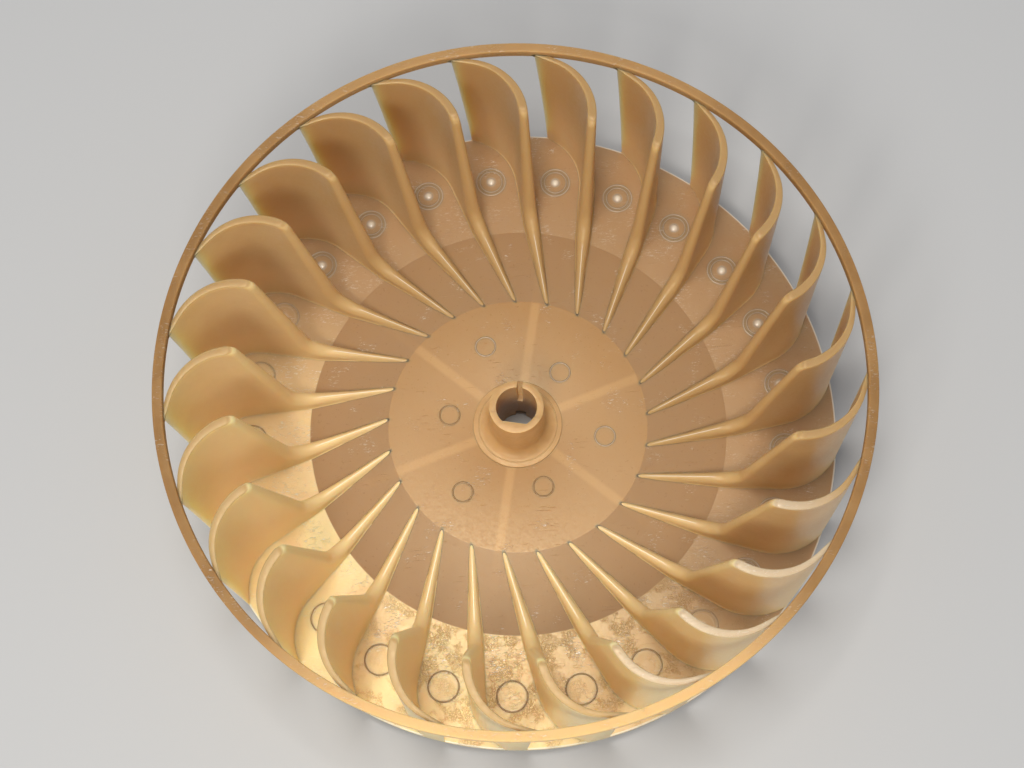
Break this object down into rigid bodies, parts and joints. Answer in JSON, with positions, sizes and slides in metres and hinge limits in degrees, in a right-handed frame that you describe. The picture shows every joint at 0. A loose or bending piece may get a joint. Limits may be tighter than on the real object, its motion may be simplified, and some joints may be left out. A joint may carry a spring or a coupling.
{
  "type": "blower wheel",
  "caption": "Centrifugal blower wheel moulded in one piece: disc back plate, curved vanes, rim ring at the inlet and a split hub with a D-shaped shaft bore.",
  "frame": {"origin": "on the shaft bore's axis, at the level of the hub's rear face and the rear ribs", "axes": "+Z along the bore's axis, out of the inlet; +X and +Y in the plane of the rear face"},
  "size_m": [0.21, 0.21, 0.069],
  "materials": {
    "plastic": "satin, slightly translucent, natural tan"
  },
  "bodies": {
    "root": {"blower_wheel": "plastic"}
  },
  "joints": []
}
